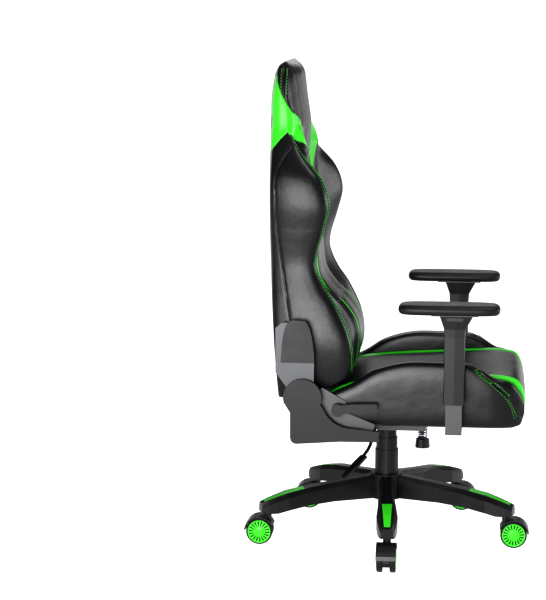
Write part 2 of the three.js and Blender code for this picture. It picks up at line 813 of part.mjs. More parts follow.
put("back_frame", frameSolid(0), STEEL());
put("back_shell", backShell(), LEATHER());

function backCentre() {
  const rear = SPLIT_F + GAP;
  const half = CENTRE_W / 2;
  const g = moulded([4, 1, 22], 0, (u, v, t) => {
    const z = mix(BACK_LOW, HEAD_LOW - GAP, (t + 1) / 2);
    const crown = 6 * u * u;
    return [u * half, v > 0 ? centreFront(z) - crown : rear, z];
  });
  return cut(g, belowBack);
}
put("back_cushion", backCentre(), LEATHER());

// Side wing on the sitter's right. grow makes the room that the head cushion leaves for it.
function backWing(grow) {
  const rear = SPLIT_F + GAP - grow;
  const inner = through([
    [430, CENTRE_W / 2 + GAP],
    [1080, CENTRE_W / 2 + GAP],
    [1110, CENTRE_W / 2 + 14],
    [WING_TOP, BACK_W / 2 - 102],
  ]);
  const top = WING_TOP + grow;
  const g = moulded([4, 3, 26], 0.3, (u, v, t) => {
    const z = mix(BACK_LOW, top, (t + 1) / 2);
    const outward = (1 - u) / 2;
    const inside = Math.max(inner(z), CENTRE_W / 2 + GAP);
    const x = mix(inside - grow, backHalf(z) - 2 + grow, outward);
    const valley = z < HEAD_LOW ? centreFront(z) : headFront(z);
    const rise = Math.min(outward / 0.65, 1);
    const front = mix(valley, ridge(z), rise * rise * (3 - 2 * rise)) + grow;
    return [-x, mix(rear, Math.max(front, rear + 6), (v + 1) / 2), z];
  });
  return grow ? g : cut(g, belowBack);
}
pair("back_wing", backWing(0), LEATHER);

function headCushion() {
  const g = moulded([8, 3, 12], 0.3, (u, v, t) => {
    const z = mix(HEAD_LOW, BACK_TOP, Math.sin(((t + 1) * Math.PI) / 4));
    const rear = rearMiddle(z) + REAR_CROWN * u * u * (z < 1300 ? 1 : (BACK_TOP + 8 - z) / 52);
    const front = headFront(z) - 34 * Math.pow(Math.abs(u), 3);
    return [u * (backHalf(z) - 2), mix(rear, Math.max(front, rear + 14), (v + 1) / 2), z];
  });
  const room = backWing(2 * GAP);
  return cut(g, room, mirrored(room), frameRoom);
}
put("head_cushion", headCushion(), GREEN_LEATHER());

// Hinge arms of the backrest, each with a moulded cover over its upper part.
function hingeArm() {
  const outline = [
    [HINGE[0] - 29, HINGE[1] + 6],
    [-287, 520],
    [-287, 640],
    [-270, 655],
    [-206, 655],
    [-182, 560],
    [HINGE[0] + 29, HINGE[1] + 6],
  ];
  const x0 = onRight(ARM_AT + ARM_T);
  const x1 = onRight(ARM_AT);
  return join(sideSlab(outline, x0, x1), sideSlab(disc(HINGE, 29.5), x0, x1, 8));
}
pair("hinge_arm", hingeArm(), STEEL);
function armCover() {
  const outline = new THREE.Shape();
  outline.moveTo(-272, 548);
  outline.lineTo(-268, 600);
  outline.quadraticCurveTo(-262, 662, -240, 664);
  outline.lineTo(-206, 662);
  outline.quadraticCurveTo(-184, 640, -181, 548);
  return sideSlab(outline, onRight(COVER_AT + 9), onRight(COVER_AT), 6);
}
pair("hinge_arm_cover", armCover(), PLASTIC);

// ---------------------------------------------------------------- armrests (sitter's right)
function restBracket() {
  const [w, d] = POST;
  const foot = fBox(
    [-REST_X - w / 2, -110],
    [REST_F - d / 2, REST_F + d / 2],
    [SEAT_LOW - 7, SEAT_LOW - GAP],
  );
  const post = fBox(
    [-REST_X - w / 2, -REST_X + w / 2],
    [REST_F - d / 2, REST_F + d / 2],
    [SEAT_LOW - 7, POST_TOP],
  );
  return join(foot, post);
}
pair("armrest_bracket", restBracket(), STEEL);

const BUTTON_Z = [REST_TOP - 13, REST_TOP - 4];
function restSleeve() {
  const [w, d] = REST_SLEEVE;
  // height, half width, rear and front reach from the post's middle
  const levels = [
    [SLEEVE_LOW, w / 2, -d / 2, d / 2],
    [REST_TOP - 60, w / 2, -d / 2, d / 2],
    [REST_TOP - 36, w / 2 + 1, -d / 2 - 1, d / 2 + 2],
    [REST_TOP - 16, w / 2 + 5, -d / 2 - 8, d / 2 + 13],
    [REST_TOP, w / 2 + 8, -d / 2 - 14, d / 2 + 22],
  ];
  const body = moulded([2, 2, levels.length - 1], 0.3, (u, v, t) => {
    const [z, half, rear, front] = levels[Math.round(((t + 1) / 2) * (levels.length - 1))];
    return [-REST_X + u * half, REST_F + mix(rear, front, (v + 1) / 2), z];
  });
  const bore = fBox(
    [-REST_X - POST[0] / 2 - SLACK, -REST_X + POST[0] / 2 + SLACK],
    [REST_F - POST[1] / 2 - SLACK, REST_F + POST[1] / 2 + SLACK],
    [SLEEVE_LOW - 1, POST_TOP + 32],
  );
  return cut(body, bore, buttonSolid(GAP));
}
// Height button, let into the outer face under the pad.
function buttonSolid(grow) {
  const outer = -REST_X - REST_SLEEVE[0] / 2 - (grow ? 12 : 6.5);
  const inner = -REST_X - REST_SLEEVE[0] / 2 + (grow ? 7 : 3);
  return fBox(
    [outer, inner],
    [REST_F - BUTTON_L / 2 - grow, REST_F + BUTTON_L / 2 + grow],
    [BUTTON_Z[0] - grow, BUTTON_Z[1] + grow],
  );
}
pair("armrest_sleeve", restSleeve(), PLASTIC);
pair("armrest_button", buttonSolid(0), PLASTIC);

function padPlate() {
  return fBox(
    [-REST_X - 27, -REST_X + 27],
    [REST_F - 62, REST_F + 62],
    [REST_TOP + GAP, REST_TOP + PAD_PLATE_T],
  );
}
pair("armrest_plate", padPlate(), STEEL);

function restPad() {
  const [w, length, t] = PAD;
  const low = REST_TOP + PAD_PLATE_T + GAP;
  const middle = REST_F - 15;
  // height above the plate and how far the outline is drawn in
  const levels = [
    [0, 7],
    [5, 1.5],
    [12, 0],
    [t - 6, 3],
    [t - 1.5, 12],
    [t, 22],
  ];
  return moulded([4, 8, levels.length - 1], 0.5, (u, v, k) => {
    const [up, inset] = levels[Math.round(((k + 1) / 2) * (levels.length - 1))];
    return [-REST_X + u * (w / 2 - inset), middle + v * (length / 2 - inset), low + up];
  });
}
pair("armrest_pad", restPad(), PLASTIC);

export default chair;
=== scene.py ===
import json
import math

import bmesh
import bpy
from mathutils import Matrix, Vector
from mathutils.bvhtree import BVHTree


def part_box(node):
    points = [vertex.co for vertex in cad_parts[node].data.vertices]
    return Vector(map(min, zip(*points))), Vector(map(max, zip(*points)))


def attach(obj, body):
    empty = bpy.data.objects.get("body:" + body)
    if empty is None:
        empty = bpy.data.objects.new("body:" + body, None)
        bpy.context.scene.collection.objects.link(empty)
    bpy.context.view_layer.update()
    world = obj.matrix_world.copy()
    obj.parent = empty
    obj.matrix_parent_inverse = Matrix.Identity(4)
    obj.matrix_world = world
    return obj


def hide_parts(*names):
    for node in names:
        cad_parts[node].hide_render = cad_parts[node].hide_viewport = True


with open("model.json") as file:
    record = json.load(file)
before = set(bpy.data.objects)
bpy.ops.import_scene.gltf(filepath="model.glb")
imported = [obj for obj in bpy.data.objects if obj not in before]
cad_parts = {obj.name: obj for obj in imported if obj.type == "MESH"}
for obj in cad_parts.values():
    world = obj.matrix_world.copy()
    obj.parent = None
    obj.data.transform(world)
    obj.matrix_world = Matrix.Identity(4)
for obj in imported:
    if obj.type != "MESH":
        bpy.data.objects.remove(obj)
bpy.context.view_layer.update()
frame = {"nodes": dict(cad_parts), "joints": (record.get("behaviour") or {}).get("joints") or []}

# The chair faces -Y. Its pieces are drawn in millimetres as (x, forward, up), measured from the
# gas lift's axis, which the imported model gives.
piston_low, piston_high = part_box("gas_piston")
COLUMN = (piston_low + piston_high) / 2
SIDES = {"right": -1, "left": 1}


def place(x, f, z):
    return Vector((COLUMN.x + x / 1000, COLUMN.y - f / 1000, z / 1000))


def local(co):
    return (co.x - COLUMN.x) * 1000, (COLUMN.y - co.y) * 1000, co.z * 1000


def span(node):
    """A CAD node's box as (x range, forward range, height range) in millimetres."""
    low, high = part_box(node)
    x0, f1, z0 = local(low)
    x1, f0, z1 = local(high)
    return (x0, x1), (f0, f1), (z0, z1)


def mix(a, b, t):
    return a + (b - a) * t


def ease(a, b, x):
    t = min(max((x - a) / (b - a), 0), 1)
    return t * t * (3 - 2 * t)


def through(*knots):
    """Smooth curve through (at, value) knots, flat beyond its ends."""

    def slope(j):
        a, b = knots[max(j - 1, 0)], knots[min(j + 1, len(knots) - 1)]
        return (b[1] - a[1]) / (b[0] - a[0])

    def value(at):
        if at <= knots[0][0]:
            return knots[0][1]
        for i in range(1, len(knots)):
            if at <= knots[i][0]:
                (k0, v0), (k1, v1) = knots[i - 1], knots[i]
                d = k1 - k0
                t = (at - k0) / d
                return (
                    (2 * t**3 - 3 * t**2 + 1) * v0
                    + (t**3 - 2 * t**2 + t) * d * slope(i - 1)
                    + (3 * t**2 - 2 * t**3) * v1
                    + (t**3 - t**2) * d * slope(i)
                )
        return knots[-1][1]

    return value


# ---------------------------------------------------------------- materials
def colour(code):
    """sRGB hex as linear RGBA."""
    parts = [int(code[i : i + 2], 16) / 255 for i in (1, 3, 5)]
    return [c / 12.92 if c <= 0.04045 else ((c + 0.055) / 1.055) ** 2.4 for c in parts] + [1]


def add(tree, kind, settings=(), values=(), links=()):
    """Adds one node: settings on the node, values on its inputs, links into its inputs."""
    new = tree.nodes.new(kind)
    for key, value in dict(settings).items():
        setattr(new, key, value)
    for key, value in dict(values).items():
        new.inputs[key].default_value = value
    for key, source in dict(links).items():
        tree.links.new(source, new.inputs[key])
    return new


def blank(name):
    material = bpy.data.materials.new(name)
    material.use_nodes = True
    tree = material.node_tree
    tree.nodes.clear()
    return material, tree


def output(tree, shader):
    add(tree, "ShaderNodeOutputMaterial", links={"Surface": shader.outputs["BSDF"]})


MM = 1000  # texture scale that makes one pattern unit one millimetre
PLASTIC_IOR = 1.3


def noise(tree, where, size_mm, detail):
    """Noise whose features are about size_mm across."""
    return add(
        tree,
        "ShaderNodeTexNoise",
        values={"Scale": MM / size_mm, "Detail": detail},
        links={"Vector": where},
    )


def leather(name, main, trim, roughness):
    """Polyurethane-coated fabric, embossed with a pebbled leather grain and wiped semi-gloss: it
    gives broad soft highlights, broken a little by the grain. Where the piece's green attribute
    is above 0 it is the trim colour. The seam attribute is the distance to the nearest seam in
    millimetres; the cover dips there, and its colour is painted darker there as painted shade
    in the seam's groove."""
    material, tree = blank(name)
    where = add(tree, "ShaderNodeTexCoord").outputs["Object"]
    green = add(tree, "ShaderNodeAttribute", {"attribute_name": "green"}).outputs["Fac"]
    seam = add(tree, "ShaderNodeAttribute", {"attribute_name": "seam"}).outputs["Fac"]
    is_green = add(
        tree,
        "ShaderNodeMapRange",
        values={"From Min": -0.35, "From Max": 0.35},
        links={"Value": green},
    )
    # Grain is about 1.2 mm on the real coating; it is drawn at 3 mm so that it shows.
    grain = add(
        tree,
        "ShaderNodeTexVoronoi",
        {"feature": "SMOOTH_F1"},
        {"Scale": MM / 3, "Smoothness": 0.6},
        {"Vector": where},
    )
    # Slow unevenness of foam under the cover, some 60 mm across.
    swell = noise(tree, where, 60, 2.0)
    mottle = noise(tree, where, 9, 3.0)
    near_seam = add(
        tree,
        "ShaderNodeMapRange",
        {"interpolation_type": "SMOOTHSTEP"},
        {"From Min": 0.4, "From Max": 3.2},
        {"Value": seam},
    )
    both = add(
        tree,
        "ShaderNodeMix",
        {"data_type": "RGBA"},
        {"A": colour(main), "B": colour(trim)},
        {"Factor": is_green.outputs["Result"]},
    )
    shade = add(
        tree,
        "ShaderNodeMapRange",
        values={"To Min": 0.86, "To Max": 1.12},
        links={"Value": mottle.outputs["Fac"]},
    )
    # Painted shade: near a seam the colour is darkened to a quarter, standing in for shade in the
    # seam's groove.
    painted_seam_shade = add(
        tree,
        "ShaderNodeMapRange",
        values={"To Min": 0.25, "To Max": 1.0},
        links={"Value": near_seam.outputs["Result"]},
    )
    total = add(
        tree,
        "ShaderNodeMath",
        {"operation": "MULTIPLY"},
        links={0: shade.outputs["Result"], 1: painted_seam_shade.outputs["Result"]},
    )
    tinted = add(
        tree,
        "ShaderNodeVectorMath",
        {"operation": "SCALE"},
        links={"Vector": both.outputs["Result"], "Scale": total.outputs["Value"]},
    )
    rough = add(
        tree,
        "ShaderNodeMapRange",
        values={"To Min": roughness - 0.05, "To Max": roughness + 0.07},
        links={"Value": mottle.outputs["Fac"]},
    )
    dip = add(
        tree,
        "ShaderNodeBump",
        values={"Strength": 0.6, "Distance": 0.0015},
        links={"Height": near_seam.outputs["Result"]},
    )
    soft = add(
        tree,
        "ShaderNodeBump",
        values={"Strength": 0.25, "Distance": 0.006},
        links={"Height": swell.outputs["Fac"], "Normal": dip.outputs["Normal"]},
    )
    fine = add(
        tree,
        "ShaderNodeBump",
        values={"Strength": 0.22, "Distance": 0.0005},
        links={"Height": grain.outputs["Distance"], "Normal": soft.outputs["Normal"]},
    )
    shader = add(
        tree,
        "ShaderNodeBsdfPrincipled",
        values={"IOR": 1.32, "Coat Weight": 0.04, "Coat Roughness": 0.3},
        links={
            "Base Color": tinted.outputs["Vector"],
            "Roughness": rough.outputs["Result"],
            "Normal": fine.outputs["Normal"],
        },
    )
    output(tree, shader)
    return material


def moulded_plastic(name, code, roughness, grain_mm=1.5, bump=0.12):
    """Injection-moulded plastic from a spark-eroded tool: a fine even texture that spreads the
    highlight, with slight flow marks in its gloss."""
    material, tree = blank(name)
    where = add(tree, "ShaderNodeTexCoord").outputs["Object"]
    grain = noise(tree, where, grain_mm, 2.0)
    flow = noise(tree, where, 45, 3.0)
    rough = add(
        tree,
        "ShaderNodeMapRange",
        values={"To Min": roughness - 0.07, "To Max": roughness + 0.09},
        links={"Value": flow.outputs["Fac"]},
    )
    shade = add(
        tree,
        "ShaderNodeMapRange",
        values={"To Min": 0.85, "To Max": 1.15},
        links={"Value": flow.outputs["Fac"]},
    )
    tinted = add(
        tree,
        "ShaderNodeVectorMath",
        {"operation": "SCALE"},
        {"Vector": colour(code)[:3]},
        {"Scale": shade.outputs["Result"]},
    )
    fine = add(
        tree,
        "ShaderNodeBump",
        values={"Strength": bump, "Distance": 0.0004},
        links={"Height": grain.outputs["Fac"]},
    )
    shader = add(
        tree,
        "ShaderNodeBsdfPrincipled",
        values={"IOR": PLASTIC_IOR},
        links={
            "Base Color": tinted.outputs["Vector"],
            "Roughness": rough.outputs["Result"],
            "Normal": fine.outputs["Normal"],
        },
    )
    output(tree, shader)
    return material


def metal(name, code, roughness, metallic, stretch=(1, 1, 1)):
    """Steel, polished or powder coated: stretch draws the finish out along the direction in which
    the piece was turned or drawn."""
    material, tree = blank(name)
    where = add(tree, "ShaderNodeTexCoord").outputs["Object"]
    turned = add(tree, "ShaderNodeMapping", values={"Scale": stretch}, links={"Vector": where})
    marks = noise(tree, turned.outputs["Vector"], 2, 3.0)
    rough = add(
        tree,
        "ShaderNodeMapRange",
        values={"To Min": roughness - 0.06, "To Max": roughness + 0.1},
        links={"Value": marks.outputs["Fac"]},
    )
    fine = add(
        tree,
        "ShaderNodeBump",
        values={"Strength": 0.1, "Distance": 0.0003},
        links={"Height": marks.outputs["Fac"]},
    )
    shader = add(
        tree,
        "ShaderNodeBsdfPrincipled",
        values={"Base Color": colour(code), "Metallic": metallic},
        links={"Roughness": rough.outputs["Result"], "Normal": fine.outputs["Normal"]},
    )
    output(tree, shader)
    return material


def plywood_board():
    """Birch plywood stained black: long grain along the board shows through the stain."""
    material, tree = blank("birch_plywood_stained_black")
    where = add(tree, "ShaderNodeTexCoord").outputs["Object"]
    along = add(tree, "ShaderNodeMapping", values={"Scale": (1, 0.08, 1)}, links={"Vector": where})
    grain = noise(tree, along.outputs["Vector"], 4, 4.0)
    tint = add(
        tree,
        "ShaderNodeMix",
        {"data_type": "RGBA"},
        {"A": colour("#16130F"), "B": colour("#2A241D")},
        {"Factor": grain.outputs["Fac"]},
    )
    shader = add(
        tree,
        "ShaderNodeBsdfPrincipled",
        values={"Roughness": 0.7},
        links={"Base Color": tint.outputs["Result"]},
    )
    output(tree, shader)
    return material


BLACK = "#0E0E10"
GREEN = "#2FA321"
LEATHER = leather("pu_leather_black_and_green", BLACK, GREEN, 0.34)
NYLON = moulded_plastic("glass_filled_nylon_black", "#131314", 0.36)
COVER_PLASTIC = moulded_plastic("textured_abs_black", "#151517", 0.42)
PAD_SKIN = moulded_plastic("self_skinned_polyurethane_black", "#141415", 0.46, 2.5, 0.25)
GREEN_ABS = moulded_plastic("moulded_abs_green", "#37AE26", 0.3)
TYRE = moulded_plastic("nylon_tread_black", "#101011", 0.5)
# Painted shade: a near-black for the wheel discs' slots, standing in for the shade inside them.
SLOT_PAINTED_SHADE = moulded_plastic("nylon_slot_painted_shade_black", "#070807", 0.6)
COATED_STEEL = metal("powder_coated_steel_black", "#1B1C1E", 0.42, 0.0)
# Painted light: the hinge arm's black powder coat is drawn a lighter grey than the other coated
# steel, a lit copy of the same black.
ARM_STEEL_PAINTED_LIT = metal("powder_coated_steel_black_painted_lit", "#2C2D30", 0.4, 0.3)
CHROMED = metal("hard_chromed_steel", "#C8CBD0", 0.2, 1.0, (1, 1, 0.05))
ZINC_STEEL = metal("zinc_plated_steel", "#9EA3AA", 0.3, 1.0)
THREAD = moulded_plastic("polyester_thread_green", "#2F9A24", 0.6, 1.0, 0.3)
PLYWOOD = plywood_board()


# ---------------------------------------------------------------- tools
def lofted(sections):
    """Closed tube through rings of points, each ring a list of the same length."""
    around, rings = len(sections[0]), len(sections)
    bm = bmesh.new()
    bmesh.ops.create_cone(
        bm, cap_ends=True, cap_tris=False, segments=around, radius1=1, radius2=1, depth=2
    )
    sides = [e for e in bm.edges if abs(e.verts[0].co.z - e.verts[1].co.z) > 1]
    bmesh.ops.subdivide_edges(bm, edges=sides, cuts=rings - 2)
    for v in bm.verts:
        j = round((v.co.z + 1) / 2 * (rings - 1))
        i = round(math.atan2(v.co.y, v.co.x) / math.tau * around) % around
        v.co = sections[j][i]
    bmesh.ops.recalc_face_normals(bm, faces=bm.faces)
    bm.normal_update()
    return bm


def shrunk(ring, share, shift):
    """The ring drawn in towards its middle and moved along: it rounds off a tube's end."""
    centre = sum(ring, Vector()) / len(ring)
    return [centre + (p - centre) * share + shift for p in ring]


def catmull_rom(p0, p1, p2, p3, t):
    """The point at share t of the way from p1 to p2."""
    return tuple(
        0.5
        * (
            2 * p1[c]
            + (p2[c] - p0[c]) * t
            + (2 * p0[c] - 5 * p1[c] + 4 * p2[c] - p3[c]) * t * t
            + (3 * p1[c] - p0[c] - 3 * p2[c] + p3[c]) * t**3
        )
        for c in (0, 1)
    )


def spline(points, counts):
    """Catmull-Rom line through (a, b) points, with counts[k] steps from point k to k + 1."""
    line = []
    last = len(points) - 1
    for k, steps in enumerate(counts):
        around = [points[min(max(k + d, 0), last)] for d in (-1, 0, 1, 2)]
        line += [catmull_rom(*around, i / steps) for i in range(steps)]
    line.append(points[-1])
    return line


def loop(points, counts):
    """Closed Catmull-Rom loop through (a, b) points, with counts[k] steps after point k."""
    line = []
    for k, steps in enumerate(counts):
        around = [points[(k + d) % len(points)] for d in (-1, 0, 1, 2)]
        line += [catmull_rom(*around, i / steps) for i in range(steps)]
    return line


def piece(bm, name, body, material, stands_for=(), fields=None, smooth=True):
    """Turns a bmesh into a piece that rides on a body. fields gives values for its attributes."""
    mesh = bpy.data.meshes.new(name)
    bm.to_mesh(mesh)
    bm.free()
    for m in material if isinstance(material, list) else [material]:
        mesh.materials.append(m)
    for key, values in (fields or {}).items():
        mesh.attributes.new(key, "FLOAT", "POINT").data.foreach_set("value", values)
    if smooth:
        mesh.shade_smooth()
    made = bpy.data.objects.new(name, mesh)
    bpy.context.scene.collection.objects.link(made)
    if stands_for:
        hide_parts(*stands_for)
    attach(made, body)
    return made


FAR = 30  # millimetres: no seam or colour edge is near


def upholstered(bm, green_of, seam_of, depth=1.6, width=3.5):
    """Presses grooves along the seams and returns the fields of the leather material."""
    greens, seams = [], []
    bm.verts.index_update()
    for v in bm.verts:
        at = local(v.co)
        greens.append(green_of(*at))
        seams.append(min(seam_of(*at), FAR))
    for v, seam in zip(bm.verts, seams):
        v.co -= v.normal * depth / 1000 * math.exp(-((seam / width) ** 2))
    bm.normal_update()
    return {"green": greens, "seam": seams}


STITCH_PITCH, STITCH_LENGTH, STITCH_RADIUS = 7.5, 5.4, 0.55


def stitch_row(bm, surface, path):
    """Adds thread along a path of (x, forward, up) points laid on a surface. The thread is
    0.5 mm thick on the real cover; it is drawn at 1.1 mm so that it shows."""
    points = []
    for p in path:
        hit, normal, _, _ = surface.find_nearest(place(*p))
        points.append((hit, normal))
    travelled = STITCH_PITCH
    for (a, na), (b, nb) in zip(points, points[1:]):
        step = (b - a).length * 1000
        travelled += step
        if travelled < STITCH_PITCH or step == 0:
            continue
        travelled = 0
        direction = (b - a).normalized()
        turn = direction.to_track_quat("Z", "Y").to_matrix().to_4x4()
        bmesh.ops.create_cone(
            bm,
            cap_ends=True,
            cap_tris=False,
            segments=6,
            radius1=STITCH_RADIUS / 1000,
            radius2=STITCH_RADIUS / 1000,
            depth=STITCH_LENGTH / 1000,
            matrix=Matrix.Translation(a + na * (STITCH_RADIUS * 0.35) / 1000) @ turn,
        )


# ---------------------------------------------------------------- backrest
back_half = through(
    (430, 236), (500, 252), (600, 262), (700, 254), (800, 240), (900, 252), (975, 262),
    (1040, 252),
    (1100, 222), (1165, 190), (1230, 182), (1300, 168), (1330, 150), (1344, 126),
)
wing_ridge = through(
    (430, -130), (480, -96), (540, -82), (610, -90), (690, -125), (744, -160), (800, -182),
    (840, -180),
    (903, -162), (970, -149), (1036, -170), (1104, -224), (1165, -258),
)
centre_front = through(
    (430, -120), (500, -88), (580, -74), (630, -80), (680, -112), (715, -150), (760, -180),
    (840, -192),
    (960, -210), (1040, -221), (1085, -225), (1120, -223), (1174, -219), (1213, -224),
    (1256, -230), (1291, -234),
    (1312, -237), (1325, -243), (1335, -252), (1341, -262), (1344, -271),
)
rear_middle = through(
    (430, -304), (600, -315), (800, -324), (1000, -326), (1180, -326), (1253, -324), (1308, -315),
    (1325, -307), (1335, -299), (1341, -290), (1344, -283),
)
ridge_x = through(
    (430, 214), (500, 230), (610, 240), (700, 232), (800, 218), (900, 229), (975, 238),
    (1040, 228),
    (1104, 202), (1165, 186),
)
stripe_x = through((430, 122), (900, 124), (1000, 130), (1050, 140), (1104, 150), (1165, 160))
stripe_rise = through(
    (430, -9), (900, -7), (1000, -4), (1050, 3), (1104, 12), (1131, 4), (1160, -11), (1175, -20),
)
under_back = through((-350, 440), (-200, 440), (-150, 468), (-64, 512), (-20, 530))
WING_PEAK = 1162
HEAD_TOP = 1344
REAR_CROWN = 26  # how much further forward the rear is at its sides than in its middle
SIDE_FRONT = -262  # the panels that wrap round the side start behind this
REAR_FACE = -290  # and the rear face lies behind this


def back_half_section(z):
    """Half of the backrest's outline at a height, from the front middle to the rear middle."""
    half = back_half(z) - 2
    front = centre_front(z)
    fade = 1 if z < 1300 else (1352 - z) / 52

    def rear(x):
        return rear_middle(z) + REAR_CROWN * (x / half) ** 2.2 * fade

    side_rear = rear(half - 30)
    head = ease(1100, 1168, z)
    crease = front - 0.46 * (front - side_rear)
    room = min(1, (front - side_rear) / 60)
    ridge_f = mix(wing_ridge(z), crease, ease(1150, 1170, z))
    rx = mix(ridge_x(z), half - 3, ease(1130, 1168, z))
    vx = mix(stripe_x(z), 0.84 * half, head)
    vf = front + stripe_rise(z) * room
    edge_drop = mix(1, 10, ease(960, 1085, z)) * room
    deep = ridge_f - side_rear
    points = [
        (0, front),
        (50, front - mix(-1.5, 3.5, ease(960, 1085, z)) * room),
        (min(100, 0.55 * half), front - edge_drop),
        (vx, vf),
        (mix(vx, rx, 0.5), mix(mix(vf, ridge_f, 0.6), front - 27 * room, head)),
        (mix(vx, rx, 0.85), mix(ridge_f - 2, front - 33 * room, head)),
        (rx, ridge_f),
        (mix(rx, half, 0.75), ridge_f - 0.09 * deep),
        (half, ridge_f - 0.3 * deep),
        (half - 0.5, ridge_f - 0.56 * deep),
        (half - 5, ridge_f - 0.8 * deep),
        (half - 14, side_rear + 3 * room),
        (half - 42, rear(half - 42)),
        (half * 0.45, rear(half * 0.45)),
        (0, rear_middle(z)),
    ]
    return spline(points, [12, 11, 8, 16, 12, 5, 6, 9, 14, 10, 6, 7, 15, 17])


def back_ring(z):
    half = back_half_section(z)
    ring = []
    for side, line in ((1, half[:-1]), (-1, half[:0:-1])):
        for x, f in line:
            ring.append(place(side * x, f, max(z, under_back(f) + 1)))
    return ring


BACK_BOTTOM, RING_STEP, PLAIN_RINGS = 432, 4, 215
TOP_RINGS = 18  # these lie closer together, where the head's top rounds off
top_from = BACK_BOTTOM + RING_STEP * PLAIN_RINGS
heights = [BACK_BOTTOM + RING_STEP * i for i in range(PLAIN_RINGS)]
heights += [
    top_from + (HEAD_TOP - top_from) * math.sin(i / TOP_RINGS * math.pi / 2)
    for i in range(1, TOP_RINGS + 1)
]
rings = [back_ring(z) for z in heights]
rings = [shrunk(rings[0], share, Vector()) for share in (0.3, 0.7)] + rings
rings += [
    shrunk(rings[-1], share, Vector((0, 0, rise / 1000)))
    for share, rise in ((0.8, 0.5), (0.5, 0.9), (0.2, 1))
]
back_bm = lofted(rings)

# Green panels: the stripe's edges on the front, the head panel's edges on the front and rear,
# and the lower edge of the part that wraps round the side.
panel_edge = through(
    (706, 106), (728, 103), (800, 101), (900, 100), (1000, 101), (1050, 104), (1113, 110),
    (1150, 118),
    (1179, 124), (1203, 148),
)
panel_front = through(
    (1195, -238), (1203, -246), (1230, -264), (1264, -284), (1290, -294), (1307, -304),
    (1322, -332),
)
green_outer = through(
    (706, 106), (728, 110), (800, 113), (900, 115), (1000, 122), (1050, 132), (1100, 146),
    (1115, 157),
    (1126, 169), (1140, 183), (1150, 191), (1162, 200),
)
side_panel_low = through(
    (-330, 1098), (-315, 1106), (-300, 1120), (-285, 1138), (-270, 1153), (-262, 1161),
)
rear_band = through(
    (500, -222), (600, -240), (700, -258), (820, -277), (917, -288), (989, -291), (1025, -294),
    (1061, -286),
    (1090, -272), (1110, -258), (1124, -248),
)
REAR_PANEL_X = 92
LUMBAR_SEAM = 700
LUMBAR_STRIPE = (83, 97)
CAP_SEAM = -277


def back_green(x, f, z):
    x = abs(x)
    if z < LUMBAR_SEAM + 3:
        if f < -230:
            return -20
        return min(x - LUMBAR_STRIPE[0], LUMBAR_STRIPE[1] - x, LUMBAR_SEAM - 4 - z)
    behind = x - REAR_PANEL_X if f < REAR_FACE else FAR
    if z < WING_PEAK and f < SIDE_FRONT:
        return min(z - side_panel_low(f), behind)
    inner = mix(x - panel_edge(z), panel_front(z) - f, ease(1188, 1212, z))
    outer = green_outer(z) - x if z < WING_PEAK else FAR
    return min(inner, outer, behind)


def back_seam(x, f, z):
    x = abs(x)
    half = back_half(z) - 2
    green = back_green(x, f, z)
    found = [abs(green) if z < 1332 else FAR]
    front = f > SIDE_FRONT
    if z < WING_PEAK:
        found.append(math.hypot(x - ridge_x(z), f - wing_ridge(z)))
        if front and z < 1104:
            found.append(abs(x - stripe_x(z) - 8))
        if x > half - 26 and z < 1124:
            found.append(abs(f - rear_band(z)))
    elif green < -4 and 1180 < z < 1332 and f > CAP_SEAM:
        found.append(abs(x - 116))
    if 1236 < z < 1336 and green < 0:
        found.append(abs(f - CAP_SEAM))
    if f > -230 and x < 122:
        found.append(abs(z - LUMBAR_SEAM + 8 * (x / 120) ** 2))
    if f < -296 and z < 1300:
        found.append(abs(x - half + 34))
    return min(found)


back_fields = upholstered(back_bm, back_green, back_seam)
back_surface = BVHTree.FromBMesh(back_bm)
backrest = piece(
    back_bm,
    "backrest_upholstery",
    "back",
    LEATHER,
    ("back_shell", "back_cushion", "back_wing_right", "back_wing_left", "head_cushion"),
    back_fields,
)

thread = bmesh.new()
for side in SIDES.values():
    for offset in (-4.5, 4.5):
        stitch_row(
            thread,
            back_surface,
            [
                (side * (ridge_x(z) - offset), wing_ridge(z) - (3 if offset < 0 else 0), z)
                for z in range(520, 1150, 2)
            ],
        )
        stitch_row(
            thread,
            back_surface,
            [
                (side * (back_half(z) - 4), CAP_SEAM + offset * 1.7, z)
                for z in range(1262, 1330, 2)
            ],
        )
piece(thread, "backrest_stitching", "back", THREAD, smooth=False)

# ---------------------------------------------------------------- seat
(mid_x0, mid_x1), (seat_rear, seat_front), (seat_low, seat_top) = span("seat_cushion")
board_top = span("seat_board")[2][1]
board_front = span("seat_board")[1][1]
seat_rise = through(
    (seat_rear, 430), (-150, 454), (-90, 480), (-30, 490), (90, 498), (200, 506),
    (seat_front - 88, 510.5)
)
mid_half = (mid_x1 - mid_x0) / 2
STRIPE = (mid_half - 27, mid_half)

seat_profile = [
    (seat_rear + 2, board_top + 2),
    (0, board_top + 0.6),
    (board_front - 4, board_top + 0.6),
    (board_front + 3, seat_low + 1.5),
    (seat_front - 40, seat_low + 1),
    (seat_front - 14, seat_low + 10),
    (seat_front - 2, seat_low + 52),
    (seat_front - 4, seat_low + 92),
    (seat_front - 22, seat_top - 14),
    (seat_front - 56, seat_top - 3),
    (seat_front - 94, seat_top - 0.5),
    (seat_front - 140, seat_rise(seat_front - 140)),
    (150, seat_rise(150)),
    (0, seat_rise(0)),
    (-90, seat_rise(-90)),
    (-150, seat_rise(-150)),
    (seat_rear + 4, seat_rise(seat_rear) - 4),
]
seat_line = loop(seat_profile, [18, 34, 3, 8, 6, 9, 9, 9, 9, 9, 10, 20, 32, 20, 14, 10, 8])


def inward(line):
    """Unit normals of a closed loop, pointing into it."""
    n = len(line)
    normals = []
    for i in range(n):
        (a0, b0), (a1, b1) = line[i - 1], line[(i + 1) % n]
        d = math.hypot(a1 - a0, b1 - b0) or 1
        normals.append((-(b1 - b0) / d, (a1 - a0) / d))
    return normals


seat_in = inward(seat_line)


